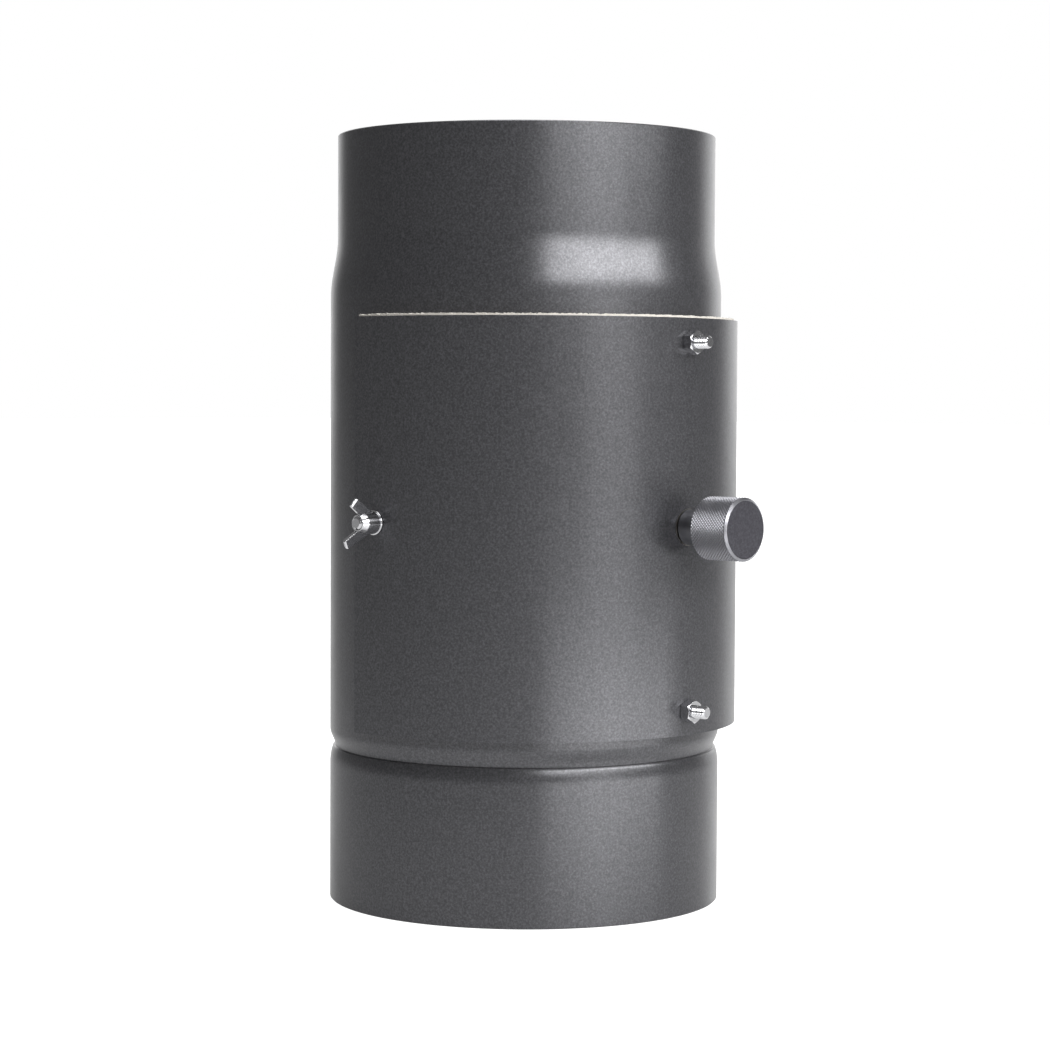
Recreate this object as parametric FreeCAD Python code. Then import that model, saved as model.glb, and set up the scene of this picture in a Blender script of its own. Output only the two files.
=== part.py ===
# Stove pipe section with a turning smoke filter behind a bolted inspection cover.
# Millimetres, +Z up. The origin is on the pipe's axis at its lower rim.
# The cover's middle faces -Y, and side angles are counted from there, positive towards +X.

import FreeCAD, Part
import math
import os

Vec = FreeCAD.Vector
AXIS_Z = Vec(0, 0, 1)

# Pipe
bore_r = 75.0
wall = 2.0
pipe_height = 300.0
spigot_outer_r = 74.25
spigot_length = 40.0
taper_length = 23.0

# Stop bead rolled into the pipe above its socket end
socket_depth = 53.5
bead_rise = 6.4
bead_depth = 2.0
bead_lip = 0.9
bead_lip_drop = 0.3
bead_slope_height = 6.8

# Inspection cover, the gasket under it and the window behind it
cover_bottom = 70.5
cover_height = 157.5
cover_half_deg = 98.0
cover_sheet = 1.5
gasket_thickness = 5.0
gasket_end_width = 16.0
gasket_side_deg = 15.0
gasket_top_overhang = 1.0
gasket_inset = 0.5

# Studs and nuts that hold the cover
stud_r = 2.5
stud_reach = 9.8
stud_edge_distance = 9.2
stud_side_deg = 90.0
side_stud_rise = 1.4
stud_end_chamfer = 0.7
stud_hole_clearance = 0.5
thread_clearance = 0.05
washer_r = 4.7
washer_thickness = 1.0
washer_hole_clearance = 0.2
hex_nut_flats = 8.0
hex_nut_height = 4.0
hex_nut_chamfer = 0.5

# Wing nut
wing_nut_foot_r = 4.3
wing_nut_shoulder_r = 4.0
wing_nut_shoulder_height = 5.8
wing_nut_top_r = 2.95
wing_nut_hub_height = 8.0
wing_nut_height = 13.5
wing_half_span = 10.0
wing_tip_slope = 2.1
wing_tip_width = 3.1
wing_root_height = 1.6
wing_root_top = 7.6
wing_root_r = 3.0
wing_thickness = 1.4
wing_turn_left_deg = 75.0
wing_turn_right_deg = 118.0

# Spindle that turns the filter, with its two bearings
spindle_r = 4.0
bearing_clearance = 0.05
bush_r = 7.0
bush_flange_r = 11.0
bush_flange_thickness = 2.5
bush_hole_clearance = 0.05
rear_bearing_r = 8.0
spindle_end_gap = 0.8
end_play = 0.3

# Stop that lets the filter turn a quarter
collar_r = 7.0
collar_length = 2.6
stop_lug_height = 3.4
stop_lug_deg = 40.0
stop_travel_deg = 90.0
stop_slack_deg = 2.0
collar_pin_r = 1.0
friction_washer_thickness = 0.6

# Filter
filter_gap = 5.0
filter_height = 24.0
hoop_wall = 1.2
hoop_lip = 4.0
grille_thickness = 1.0
grille_hole_flats = 13.0
grille_pitch = 15.6
grille_border = 4.0
filter_fit = 0.1

# Knob
knob_r = 12.0
knob_grip_length = 16.1
knob_chamfer = 0.7
knob_neck_r = 6.8
knob_neck_length = 10.2
knob_cap_r = 10.85
knob_cap_thickness = 1.0
knob_screw_r = 2.0
knob_screw_head_r = 3.5
knob_screw_head_height = 2.8
knob_screw_length = 12.0
knob_screw_seat = 5.0
knob_screw_clearance = 0.1
knob_screw_web = 1.0

# Worked out from the sizes above
body_r = bore_r + wall
filter_r = bore_r - filter_gap
gasket_outer_r = body_r + gasket_thickness
cover_r = gasket_outer_r + cover_sheet
cover_top = cover_bottom + cover_height
window_bottom = cover_bottom + gasket_end_width
window_top = cover_top - gasket_end_width
window_half_deg = cover_half_deg - gasket_side_deg
filter_z = (cover_bottom + cover_top) / 2
bearing_r = spindle_r + bearing_clearance
washer_hole_r = stud_r + washer_hole_clearance
nut_bore_r = stud_r + thread_clearance
stud_hole_r = stud_r + stud_hole_clearance
stud_sites = [
    (0.0, cover_top - stud_edge_distance),
    (0.0, cover_bottom + stud_edge_distance),
    (-stud_side_deg, filter_z + side_stud_rise),
    (stud_side_deg, filter_z + side_stud_rise),
]
hex_sites = stud_sites[:2]
left_site = stud_sites[2]
right_site = stud_sites[3]


def polygon_face(points):
    """Face from (r, z) points in the XZ plane."""
    corners = [Vec(r, 0, z) for r, z in points]
    return Part.Face(Part.makePolygon(corners + corners[:1]))


def turned(points):
    """Solid of revolution about Z from (r, z) points."""
    return polygon_face(points).revolve(Vec(0, 0, 0), AXIS_Z, 360)


def tube(outer_r, inner_r, bottom, top):
    """Plain ring about Z."""
    return turned([(inner_r, bottom), (outer_r, bottom), (outer_r, top), (inner_r, top)])


def rod(radius, bottom, top):
    """Cylinder on the Z axis."""
    return Part.makeCylinder(radius, top - bottom, Vec(0, 0, bottom))


def sector(inner_r, outer_r, bottom, top, half_deg, middle_deg=-90.0):
    """Part of a ring about Z, spanning half_deg each side of middle_deg from +X."""
    outline = [(inner_r, bottom), (outer_r, bottom), (outer_r, top), (inner_r, top)]
    start = polygon_face(outline)
    start.rotate(Vec(0, 0, 0), AXIS_Z, middle_deg - half_deg)
    return start.revolve(Vec(0, 0, 0), AXIS_Z, 2 * half_deg)


def outward(shape, side_deg, height):
    """Turn a shape made along +Z to point out of the pipe's side at a height."""
    placed = shape.copy()
    placed.rotate(Vec(0, 0, 0), Vec(1, 0, 0), 90)
    placed.rotate(Vec(0, 0, 0), AXIS_Z, side_deg)
    placed.translate(Vec(0, 0, height))
    return placed


def s_curve(r0, z0, r1, z1):
    """Two equal arcs that join two vertical stretches of a turned outline."""
    rise = z1 - z0
    step = r1 - r0
    radius = (rise ** 2 + step ** 2) / (4 * abs(step))
    half_turn = math.asin(abs(rise) / 2 / radius) / 2
    side = math.copysign(radius * (1 - math.cos(half_turn)), step)
    along = math.copysign(radius * math.sin(half_turn), rise)
    middle = Vec((r0 + r1) / 2, 0, (z0 + z1) / 2)
    first = Part.Arc(Vec(r0, 0, z0), Vec(r0 + side, 0, z0 + along), middle)
    second = Part.Arc(middle, Vec(r1 - side, 0, z1 - along), Vec(r1, 0, z1))
    return [first.toShape(), second.toShape()]


def end_tangent_arc(r0, z0, r1, z1):
    """Arc that leaves (r0, z0) vertically and ends at (r1, z1)."""
    rise = z1 - z0
    step = r1 - r0
    radius = (rise ** 2 + step ** 2) / (2 * abs(step))
    half_turn = math.asin(rise / radius) / 2
    side = math.copysign(radius * (1 - math.cos(half_turn)), step)
    middle = Vec(r0 + side, 0, z0 + radius * math.sin(half_turn))
    return [Part.Arc(Vec(r0, 0, z0), middle, Vec(r1, 0, z1)).toShape()]


def line(r0, z0, r1, z1):
    """Straight stretch of a turned outline."""
    return [Part.LineSegment(Vec(r0, 0, z0), Vec(r1, 0, z1)).toShape()]


def pipe_blank():
    """Pipe wall with its socket, rolled bead, straight body, taper and spigot."""
    crease_z = socket_depth + bead_rise + bead_lip_drop
    bead_top = crease_z + bead_slope_height
    spigot_z = pipe_height - spigot_length
    taper_z = spigot_z - taper_length
    lip_r = body_r - bead_depth + bead_lip
    lip_z = socket_depth + bead_rise
    crease_r = body_r - bead_depth
    spigot_inner_r = spigot_outer_r - wall
    outside = line(body_r, 0, body_r, socket_depth)
    outside += end_tangent_arc(body_r, socket_depth, lip_r, lip_z)
    outside += line(lip_r, lip_z, crease_r, crease_z)
    outside += s_curve(crease_r, crease_z, body_r, bead_top)
    outside += line(body_r, bead_top, body_r, taper_z)
    outside += s_curve(body_r, taper_z, spigot_outer_r, spigot_z)
    outside += line(spigot_outer_r, spigot_z, spigot_outer_r, pipe_height)
    top_rim = line(spigot_outer_r, pipe_height, spigot_inner_r, pipe_height)
    inside = line(spigot_inner_r, pipe_height, spigot_inner_r, spigot_z)
    inside += line(spigot_inner_r, spigot_z, bore_r, taper_z)
    inside += line(bore_r, taper_z, bore_r, bead_top)
    inside += line(bore_r, bead_top, bore_r - bead_depth, crease_z)
    inside += line(bore_r - bead_depth, crease_z, bore_r, socket_depth)
    inside += line(bore_r, socket_depth, bore_r, 0)
    bottom_rim = line(bore_r, 0, body_r, 0)
    outline = Part.Wire(outside + top_rim + inside + bottom_rim)
    return Part.Face(outline).revolve(Vec(0, 0, 0), AXIS_Z, 360)


def make_pipe():
    """Pipe with the window that the filter goes in and out of."""
    window = sector(
        bore_r - 2 * wall, body_r + wall, window_bottom, window_top, window_half_deg
    )
    return pipe_blank().cut(window)


def stud_holes(radius):
    """Cutters for the holes that the four studs pass through."""
    cutter = rod(radius, bore_r, cover_r + wall)
    return [outward(cutter, side_deg, height) for side_deg, height in stud_sites]


def make_gasket():
    """Flat fibre gasket, a frame round the window, bent to the pipe."""
    side_inset_deg = math.degrees(gasket_inset / gasket_outer_r)
    outer = sector(
        body_r,
        gasket_outer_r,
        cover_bottom + gasket_inset,
        cover_top + gasket_top_overhang,
        cover_half_deg - side_inset_deg,
    )
    opening = sector(
        body_r - wall,
        gasket_outer_r + wall,
        window_bottom,
        window_top,
        window_half_deg,
    )
    return outer.cut([opening] + stud_holes(stud_hole_r))


def make_cover():
    """Rolled sheet cover with holes for the studs and the spindle's bush."""
    sheet = sector(gasket_outer_r, cover_r, cover_bottom, cover_top, cover_half_deg)
    bush_hole = outward(rod(bush_r + bush_hole_clearance, bore_r, cover_r + wall), 0, filter_z)
    return sheet.cut(stud_holes(stud_hole_r) + [bush_hole])


def make_studs():
    """Four threaded weld studs, their roots shaped to the pipe's wall."""
    tip = cover_r + stud_reach
    blank = turned([
        (0, body_r - wall),
        (stud_r, body_r - wall),
        (stud_r, tip - stud_end_chamfer),
        (stud_r - stud_end_chamfer, tip),
        (0, tip),
    ])
    pipe_space = rod(body_r, 0, pipe_height)
    return [outward(blank, side_deg, height).cut(pipe_space) for side_deg, height in stud_sites]


def washer():
    """Plain washer lying against the cover."""
    return tube(washer_r, washer_hole_r, cover_r, cover_r + washer_thickness)


def make_hex_nut():
    """Hexagon nut against the cover, with its corners chamfered."""
    bottom = cover_r
    top = bottom + hex_nut_height
    corner_r = hex_nut_flats / math.sqrt(3)
    corners = [
        Vec(corner_r * math.cos(math.radians(60 * k)), corner_r * math.sin(math.radians(60 * k)), bottom)
        for k in range(6)
    ]
    prism = Part.Face(Part.makePolygon(corners + corners[:1])).extrude(Vec(0, 0, hex_nut_height))
    flats_r = hex_nut_flats / 2
    chamfer_form = turned([
        (nut_bore_r, bottom),
        (flats_r, bottom),
        (corner_r, bottom + hex_nut_chamfer),
        (corner_r, top - hex_nut_chamfer),
        (flats_r, top),
        (nut_bore_r, top),
    ])
    return prism.common(chamfer_form)


def wing_outline():
    """Flat face of one wing, standing out along +X."""
    bottom = cover_r + washer_thickness
    tip = bottom + wing_nut_height
    return polygon_face([
        (wing_root_r, bottom + wing_root_height),
        (wing_nut_foot_r, bottom + wing_root_height),
        (wing_half_span, tip - wing_tip_slope),
        (wing_half_span - wing_tip_width, tip),
        (wing_root_r, bottom + wing_root_top),
    ])


def make_wing_nut():
    """Wing nut on its washer: a shouldered hub with two raised wings."""
    bottom = cover_r + washer_thickness
    hub_top = bottom + wing_nut_hub_height
    hub = turned([
        (0, bottom),
        (wing_nut_foot_r, bottom),
        (wing_nut_shoulder_r, bottom + wing_nut_shoulder_height),
        (wing_nut_top_r, hub_top),
        (0, hub_top),
    ])
    face = wing_outline()
    face.translate(Vec(0, -wing_thickness / 2, 0))
    wing = face.extrude(Vec(0, wing_thickness, 0))
    other = wing.copy()
    other.rotate(Vec(0, 0, 0), AXIS_Z, 180)
    body = hub.fuse([wing, other]).removeSplitter()
    return body.cut(rod(nut_bore_r, bottom - 1, bottom + wing_nut_height))


def turned_to(shape, turn_deg):
    """Copy of a fastener turned about its own axis."""
    copy = shape.copy()
    copy.rotate(Vec(0, 0, 0), AXIS_Z, turn_deg)
    return copy


def bush_inner_face():
    """Distance from the pipe's axis to the inner face of the cover's bush."""
    return gasket_outer_r - bush_flange_thickness


def collar_outer_face():
    """Distance from the pipe's axis to the stop collar's outer face."""
    return bush_inner_face() - friction_washer_thickness - bearing_clearance


def collar_inner_face():
    """Distance from the pipe's axis to the stop collar's inner face."""
    return collar_outer_face() - collar_length


def stop_block(height):
    """Raised stop on the bush: what is left of a ring round the collar's path."""
    free_deg = stop_travel_deg + stop_lug_deg + 2 * stop_slack_deg
    middle = 90.0 + stop_travel_deg / 2 + 180.0
    return sector(
        collar_r + end_play,
        bush_flange_r,
        collar_inner_face(),
        height,
        (360.0 - free_deg) / 2,
        middle,
    )


def make_cover_bush():
    """Flanged bush in the cover's middle, with the raised stop for the collar's lug."""
    inner = bush_inner_face()
    flange = rod(bush_flange_r, inner, cover_r)
    nose = rod(bush_r, inner, cover_r)
    block = stop_block(inner + end_play)
    bore = rod(bearing_r, 0, cover_r + wall)
    flange = outward(flange, 0, filter_z).common(rod(gasket_outer_r, 0, pipe_height))
    body = flange.fuse([outward(nose, 0, filter_z), outward(block, 0, filter_z)])
    return body.cut(outward(bore, 0, filter_z)).removeSplitter()


def make_rear_bearing():
    """Ring welded inside the back of the pipe, where the spindle's end sits."""
    ring = tube(rear_bearing_r, bearing_r, filter_r + end_play, body_r)
    return outward(ring, 180, filter_z).common(rod(bore_r, 0, pipe_height))


def make_friction_washer():
    """Washer between the bush and the collar that keeps the filter where it is put."""
    ring = tube(collar_r, bearing_r, collar_outer_face(), bush_inner_face())
    return outward(ring, 0, filter_z)


def knob_start():
    """Distance from the pipe's axis to the knob's neck."""
    return cover_r + end_play


def knob_face():
    """Distance from the pipe's axis to the knob's outer face."""
    return knob_start() + knob_neck_length + knob_grip_length + knob_chamfer


def spindle_front():
    """Distance from the pipe's axis to the spindle's end inside the knob."""
    return knob_face() - knob_cap_thickness - knob_screw_seat


def make_spindle():
    """Round spindle right through the filter, tapped at the knob's end."""
    back = -(bore_r - spindle_end_gap)
    shaft = rod(spindle_r, back, spindle_front())
    tapped = rod(knob_screw_r, spindle_front() + knob_screw_seat - knob_screw_length, knob_face())
    pin_hole = collar_pin_blank()
    placed = outward(shaft, 0, filter_z)
    return placed.cut([outward(tapped, 0, filter_z), pin_hole])


def collar_pin_blank():
    """Pin across the collar and the spindle, upright when the filter lies flat."""
    middle = (collar_inner_face() + collar_outer_face()) / 2
    pin = Part.makeCylinder(collar_pin_r, 2 * collar_r, Vec(0, -collar_r, middle), Vec(0, 1, 0))
    return outward(pin, 0, filter_z)


def make_stop_collar():
    """Collar pinned to the spindle, with the lug that meets the bush's stop."""
    inner = collar_inner_face()
    outer = collar_outer_face()
    ring = tube(collar_r, spindle_r, inner, outer)
    lug = sector(
        collar_r - 1,
        collar_r + stop_lug_height,
        inner,
        outer,
        stop_lug_deg / 2,
        90.0,
    )
    body = outward(ring.fuse(lug).removeSplitter(), 0, filter_z)
    return body.cut(collar_pin_blank())


def make_knob():
    """Turned knob: smooth neck, grip with a chamfered rim, recess for its cap."""
    neck_end = knob_start() + knob_neck_length
    grip_end = neck_end + knob_grip_length
    face = knob_face()
    recess = face - knob_cap_thickness
    screw_floor = spindle_front()
    outline = [
        (spindle_r, knob_start()),
        (knob_neck_r, knob_start()),
        (knob_neck_r, neck_end),
        (knob_r, neck_end),
        (knob_r, grip_end),
        (knob_cap_r, face),
        (knob_cap_r, recess),
        (knob_screw_head_r + knob_screw_clearance, recess),
        (knob_screw_head_r + knob_screw_clearance, screw_floor + knob_screw_web),
        (knob_screw_r, screw_floor + knob_screw_web),
        (knob_screw_r, screw_floor),
        (spindle_r, screw_floor),
    ]
    return outward(turned(outline), 0, filter_z)


def make_knob_screw():
    """Cheese head screw that draws the knob onto the spindle."""
    head_seat = spindle_front() + knob_screw_web
    tip = spindle_front() + knob_screw_seat - knob_screw_length
    screw = turned([
        (0, tip),
        (knob_screw_r, tip),
        (knob_screw_r, head_seat),
        (knob_screw_head_r, head_seat),
        (knob_screw_head_r, head_seat + knob_screw_head_height),
        (0, head_seat + knob_screw_head_height),
    ])
    return outward(screw, 0, filter_z)


def make_knob_cap():
    """Thin dark disc pressed into the knob's face."""
    face = knob_face()
    disc = rod(knob_cap_r, face - knob_cap_thickness, face)
    return outward(disc, 0, filter_z)


def spindle_hole(radius):
    """Cutter along the spindle, right across the filter."""
    return outward(rod(radius, -body_r, body_r), 0, filter_z)


def make_hoop():
    """Band round the filter, its edges turned in over the grilles."""
    half = filter_height / 2
    inner_r = filter_r - hoop_wall
    lip_r = filter_r - hoop_lip
    outline = [
        (filter_r, -half),
        (filter_r, half),
        (lip_r, half),
        (lip_r, half - hoop_wall),
        (inner_r, half - hoop_wall),
        (inner_r, -half + hoop_wall),
        (lip_r, -half + hoop_wall),
        (lip_r, -half),
    ]
    band = turned(outline)
    band.translate(Vec(0, 0, filter_z))
    return band.cut(spindle_hole(spindle_r))


def grille_holes(bottom, top):
    """Hexagonal cutters in a honeycomb layout that keeps a plain border."""
    corner_r = grille_hole_flats / math.sqrt(3)
    limit = filter_r - hoop_lip - grille_border
    rows = int(limit / (grille_pitch * math.sqrt(3) / 2)) + 1
    columns = int(limit / grille_pitch) + 1
    holes = []
    for row in range(-rows, rows + 1):
        shift = grille_pitch / 2 if row % 2 else 0.0
        y = row * grille_pitch * math.sqrt(3) / 2
        for column in range(-columns - 1, columns + 1):
            x = column * grille_pitch + shift
            if math.hypot(x, y) + corner_r > limit:
                continue
            corners = [
                Vec(
                    x + corner_r * math.sin(math.radians(60 * k)),
                    y + corner_r * math.cos(math.radians(60 * k)),
                    bottom,
                )
                for k in range(6)
            ]
            face = Part.Face(Part.makePolygon(corners + corners[:1]))
            holes.append(face.extrude(Vec(0, 0, top - bottom)))
    return holes


def make_grille(side):
    """Perforated plate under one of the hoop's lips: side is 1 above and -1 below."""
    outer_face = side * (filter_height / 2 - hoop_wall)
    inner_face = outer_face - side * grille_thickness
    bottom = filter_z + min(outer_face, inner_face)
    top = filter_z + max(outer_face, inner_face)
    plate = rod(filter_r - hoop_wall - filter_fit, bottom, top)
    return plate.cut(grille_holes(bottom - 1, top + 1))


def make_filter_medium():
    """Porous ceramic disc between the grilles, bored for the spindle."""
    half = filter_height / 2 - hoop_wall - grille_thickness
    disc = rod(filter_r - hoop_wall - filter_fit, filter_z - half, filter_z + half)
    return disc.cut(spindle_hole(spindle_r + filter_fit))


def write(node, shapes):
    """Write one node's solids to its own file."""
    solids = shapes if isinstance(shapes, list) else [shapes]
    found = [solid for shape in solids for solid in shape.Solids]
    shape = found[0] if len(found) == 1 else Part.makeCompound(found)
    shape.exportStep("parts/" + node + ".step")
    print(node, len(found), round(shape.Volume, 1), shape.isValid())


def main():
    """Build every node and write it."""
    os.makedirs("parts", exist_ok=True)
    hex_nut = make_hex_nut()
    wing_nut = make_wing_nut()
    write("pipe", make_pipe())
    write("gasket", make_gasket())
    write("cover", make_cover())
    write("studs", make_studs())
    write("hex_nuts", [outward(hex_nut, side, height) for side, height in hex_sites])
    for name, site, turn in (
        ("left", left_site, wing_turn_left_deg),
        ("right", right_site, wing_turn_right_deg),
    ):
        write("wing_washer_" + name, outward(washer(), *site))
        write("wing_nut_" + name, outward(turned_to(wing_nut, turn), *site))
    write("cover_bush", make_cover_bush())
    write("rear_bearing", make_rear_bearing())
    write("friction_washer", make_friction_washer())
    write("spindle", make_spindle())
    write("stop_collar", make_stop_collar())
    write("collar_pin", collar_pin_blank())
    write("hoop", make_hoop())
    write("grille_upper", make_grille(1))
    write("grille_lower", make_grille(-1))
    write("filter_medium", make_filter_medium())
    write("knob", make_knob())
    write("knob_screw", make_knob_screw())
    write("knob_cap", make_knob_cap())


main()
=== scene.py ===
"""A stove pipe section with a turning smoke filter behind a bolted inspection cover."""

import logging
import math
import random
from collections.abc import Callable, Iterator, Sequence
from contextlib import contextmanager
from dataclasses import dataclass, field
from enum import Enum

import bpy
from mathutils import Matrix, Vector


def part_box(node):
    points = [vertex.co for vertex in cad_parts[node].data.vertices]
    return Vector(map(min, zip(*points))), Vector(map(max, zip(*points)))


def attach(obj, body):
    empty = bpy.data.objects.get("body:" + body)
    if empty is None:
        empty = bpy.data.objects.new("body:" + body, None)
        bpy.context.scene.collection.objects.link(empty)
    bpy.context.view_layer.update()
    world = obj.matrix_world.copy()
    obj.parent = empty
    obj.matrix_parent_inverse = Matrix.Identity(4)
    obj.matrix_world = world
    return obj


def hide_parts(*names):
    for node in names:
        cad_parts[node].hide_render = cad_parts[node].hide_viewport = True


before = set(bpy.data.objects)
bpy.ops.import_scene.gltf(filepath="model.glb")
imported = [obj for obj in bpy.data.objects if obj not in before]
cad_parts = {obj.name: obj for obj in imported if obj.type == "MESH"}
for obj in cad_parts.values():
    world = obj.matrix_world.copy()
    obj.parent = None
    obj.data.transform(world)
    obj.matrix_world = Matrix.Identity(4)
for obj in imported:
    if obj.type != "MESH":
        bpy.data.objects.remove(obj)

LOG = logging.getLogger("stove_pipe_filter")
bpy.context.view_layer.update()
MM = 0.001
ORIGIN = (0.0, 0.0, 0.0)
Z_AXIS = (0.0, 0.0, 1.0)
Point = tuple[float, float]
Outline = Sequence[Point]


class Side(Enum):
    """Which side of the pipe a fastener points out of, as degrees from the cover's middle."""

    FRONT = 0.0
    LEFT = -90.0
    RIGHT = 90.0


def low(node: str) -> Vector:
    """Lowest corner of a CAD node."""
    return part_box(node)[0]


def high(node: str) -> Vector:
    """Highest corner of a CAD node."""
    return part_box(node)[1]


def deselect_all() -> None:
    """Leave edit mode and clear the selection."""
    if bpy.context.object is not None and bpy.context.object.mode != "OBJECT":
        bpy.ops.object.mode_set(mode="OBJECT")
    bpy.ops.object.select_all(action="DESELECT")


def choose(*pieces: bpy.types.Object) -> None:
    """Select only these pieces, the last one active.

    Args:
        pieces: the objects to select.
    """
    deselect_all()
    for piece in pieces:
        piece.select_set(True)
    bpy.context.view_layer.objects.active = pieces[-1]


def settle(name: str) -> bpy.types.Object:
    """Name the piece just added and move its place into its mesh.

    Args:
        name: the piece's name.

    Returns:
        The piece.
    """
    piece = bpy.context.object
    piece.name = name
    piece.data.name = name
    bpy.ops.object.transform_apply(location=True, rotation=True, scale=True)
    return piece


@contextmanager
def editing(piece: bpy.types.Object) -> Iterator[None]:
    """Work on a piece in edit mode.

    Args:
        piece: the object to edit.

    Yields:
        Nothing.
    """
    choose(piece)
    bpy.ops.object.mode_set(mode="EDIT")
    yield
    bpy.ops.object.mode_set(mode="OBJECT")


def select_points(piece: bpy.types.Object, wanted: Callable[[Vector], bool]) -> None:
    """Select the vertices of a piece by their place.

    Args:
        piece: an object in object mode.
        wanted: says whether a vertex at that place is selected.
    """
    mesh = piece.data
    for group in (mesh.vertices, mesh.edges, mesh.polygons):
        group.foreach_set("select", [False] * len(group))
    chosen = [bool(wanted(vertex.co)) for vertex in mesh.vertices]
    mesh.vertices.foreach_set("select", chosen)
    for edge in mesh.edges:
        edge.select = all(chosen[i] for i in edge.vertices)
    for polygon in mesh.polygons:
        polygon.select = all(chosen[i] for i in polygon.vertices)


def apply_modifier(piece: bpy.types.Object, kind: str, **settings: object) -> None:
    """Add a modifier with its settings and apply it.

    Args:
        piece: the object that takes the modifier.
        kind: the modifier's type.
        settings: the modifier's properties.
    """
    choose(piece)
    modifier = piece.modifiers.new(kind.lower(), kind)
    for key, value in settings.items():
        setattr(modifier, key, value)
    bpy.ops.object.modifier_apply(modifier=modifier.name)


def round_edges(piece: bpy.types.Object, width: float, steps: int = 2, angle: float = 40.0) -> None:
    """Break a piece's sharp edges.

    Args:
        piece: the object.
        width: the bevel's width in metres.
        steps: how many faces each bevel gets.
        angle: edges sharper than this many degrees are broken.
    """
    apply_modifier(
        piece, "BEVEL", width=width, segments=steps, limit_method="ANGLE",
        angle_limit=math.radians(angle), harden_normals=False,
    )


def smooth(piece: bpy.types.Object, angle: float = 35.0) -> None:
    """Shade a piece smooth except at edges sharper than an angle in degrees."""
    choose(piece)
    bpy.ops.object.shade_smooth_by_angle(angle=math.radians(angle))


def level_shading(piece: bpy.types.Object) -> None:
    """Let a smooth piece's large faces lead its shading, so its rounded edges don't bend it."""
    apply_modifier(piece, "WEIGHTED_NORMAL", mode="FACE_AREA", weight=50, keep_sharp=True)


def cut_rows(piece: bpy.types.Object, heights: Sequence[float]) -> None:
    """Cut level lines into a piece, so a hole's odd faces end close to it.

    Args:
        piece: the object.
        heights: the heights of the cuts.
    """
    with editing(piece):
        for height in heights:
            bpy.ops.mesh.select_all(action="SELECT")
            bpy.ops.mesh.bisect(plane_co=(0, 0, height), plane_no=Z_AXIS)


def fix_order(piece: bpy.types.Object) -> None:
    """List a piece's faces by their corners, because extrude and spin leave the order to chance.

    Args:
        piece: the object.
    """
    mesh = piece.data
    places = [tuple(vertex.co) for vertex in mesh.vertices]
    faces = []
    for polygon in mesh.polygons:
        corners = list(polygon.vertices)
        first = corners.index(min(corners))
        faces.append(corners[first:] + corners[:first])
    mesh.clear_geometry()
    mesh.from_pydata(places, [], sorted(faces))


def face_outwards(piece: bpy.types.Object) -> None:
    """Merge doubled vertices and turn every face of a closed piece outwards.

    Args:
        piece: the object.
    """
    with editing(piece):
        bpy.ops.mesh.select_all(action="SELECT")
        bpy.ops.mesh.remove_doubles(threshold=0.001 * MM)
        bpy.ops.mesh.normals_make_consistent(inside=False)


def turned(name: str, outline: Outline, sides: int, ring: bool = False) -> bpy.types.Object:
    """Model a round piece about Z by drawing one circle along its outline.

    Args:
        name: the piece's name.
        outline: (radius, height) points in metres.
        sides: the number of points round the circle.
        ring: True closes the outline on itself, False caps both its ends.

    Returns:
        The closed piece.
    """
    deselect_all()
    radius, height = outline[0]
    bpy.ops.mesh.primitive_circle_add(
        vertices=sides, radius=radius, location=(0, 0, height), fill_type="NOTHING" if ring else "NGON"
    )
    piece = settle(name)
    with editing(piece):
        bpy.ops.mesh.select_all(action="SELECT")
        for next_radius, next_height in list(outline[1:]) + ([outline[0]] if ring else []):
            bpy.ops.mesh.extrude_edges_move(
                TRANSFORM_OT_translate={"value": (0, 0, next_height - height)}
            )
            scale = next_radius / radius
            bpy.ops.transform.resize(value=(scale, scale, 1), center_override=(0, 0, next_height))
            radius, height = next_radius, next_height
        if not ring:
            bpy.ops.mesh.edge_face_add()
    face_outwards(piece)
    fix_order(piece)
    return piece


def bent_plate(
    name: str, inner: float, outer: float, bottom: float, top: float, half_deg: float, steps: int,
) -> bpy.types.Object:
    """Model a plate bent round the pipe by spinning its end face.

    Args:
        name: the piece's name.
        inner: the plate's inner radius.
        outer: the plate's outer radius.
        bottom: the height of its lower edge.
        top: the height of its upper edge.
        half_deg: how far it reaches each side of the cover's middle, in degrees.
        steps: how many lengths the bend is made of.

    Returns:
        The closed piece.
    """
    deselect_all()
    bpy.ops.mesh.primitive_grid_add(x_subdivisions=1, y_subdivisions=1, size=1.0, location=ORIGIN)
    piece = bpy.context.object
    piece.scale = (outer - inner, top - bottom, 1)
    piece.rotation_euler = (math.pi / 2, 0, 0)
    piece.location = ((inner + outer) / 2, 0, (bottom + top) / 2)
    settle(name)
    piece.rotation_euler = (0, 0, math.radians(half_deg - 90))
    bpy.ops.object.transform_apply(rotation=True)
    with editing(piece):
        bpy.ops.mesh.select_all(action="SELECT")
        bpy.ops.mesh.spin(steps=steps, angle=math.radians(2 * half_deg), center=ORIGIN, axis=Z_AXIS)
    face_outwards(piece)
    fix_order(piece)
    return piece


def outward(piece: bpy.types.Object, side_deg: float, height: float) -> None:
    """Turn a piece made along +Z so that it points out of the pipe's side.

    Args:
        piece: the object.
        side_deg: degrees from the cover's middle, positive towards +X.
        height: the height of its axis.
    """
    choose(piece)
    piece.rotation_euler = (math.pi / 2, 0, math.radians(side_deg))
    piece.location = (0, 0, height)
    bpy.ops.object.transform_apply(location=True, rotation=True, scale=True)


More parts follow.
